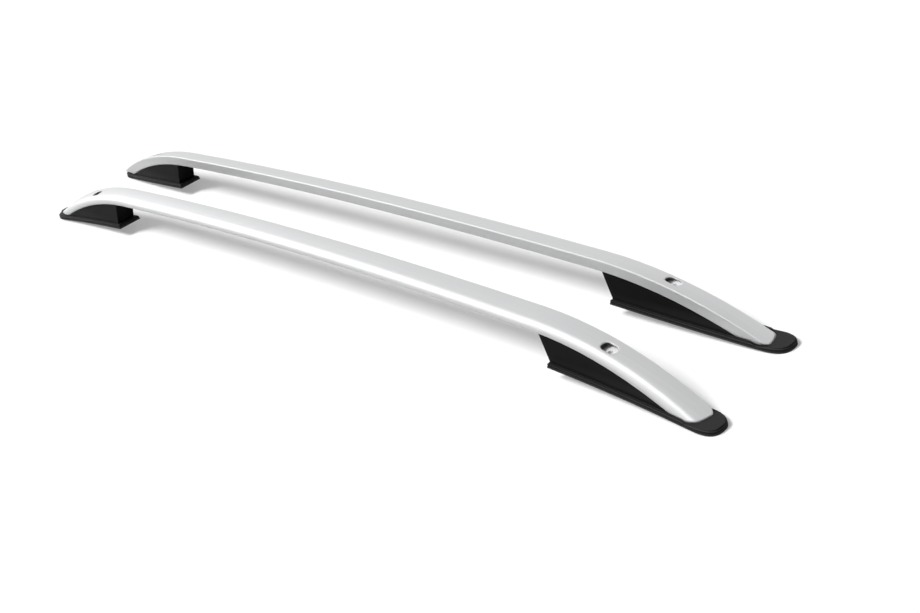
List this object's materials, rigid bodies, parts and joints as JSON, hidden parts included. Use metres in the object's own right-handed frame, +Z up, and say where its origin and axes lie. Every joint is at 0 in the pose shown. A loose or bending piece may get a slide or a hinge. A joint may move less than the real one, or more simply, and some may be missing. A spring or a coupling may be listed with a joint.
{
  "type": "roof side rail pair",
  "caption": "Two mirrored car roof rails, each a bent aluminium extrusion raised on moulded black feet with rubber gaskets, side by side.",
  "frame": {"origin": "centre of the pair's footprint, on the floor", "axes": "+X along the rails towards their fronts, +Y towards the left rail, +Z up"},
  "size_m": [1.938, 0.26, 0.1116],
  "materials": {
    "aluminium": "satin anodised",
    "black_plastic": "fine moulded grain",
    "rubber": "matt",
    "steel": "zinc plated"
  },
  "bodies": {
    "root": {"right_rail_tube": "aluminium", "right_front_foot": "black_plastic", "right_rear_foot": "black_plastic", "right_front_gasket": "rubber", "right_rear_gasket": "rubber", "right_front_bolt_seat": "steel", "right_rear_bolt_seat": "steel", "right_front_sleeve": "steel", "right_rear_sleeve": "steel", "right_front_foot_screws": "steel", "right_rear_foot_screws": "steel", "left_rail_tube": "aluminium", "left_front_foot": "black_plastic", "left_rear_foot": "black_plastic", "left_front_gasket": "rubber", "left_rear_gasket": "rubber", "left_front_bolt_seat": "steel", "left_rear_bolt_seat": "steel", "left_front_sleeve": "steel", "left_rear_sleeve": "steel", "left_front_foot_screws": "steel", "left_rear_foot_screws": "steel"}
  },
  "joints": []
}
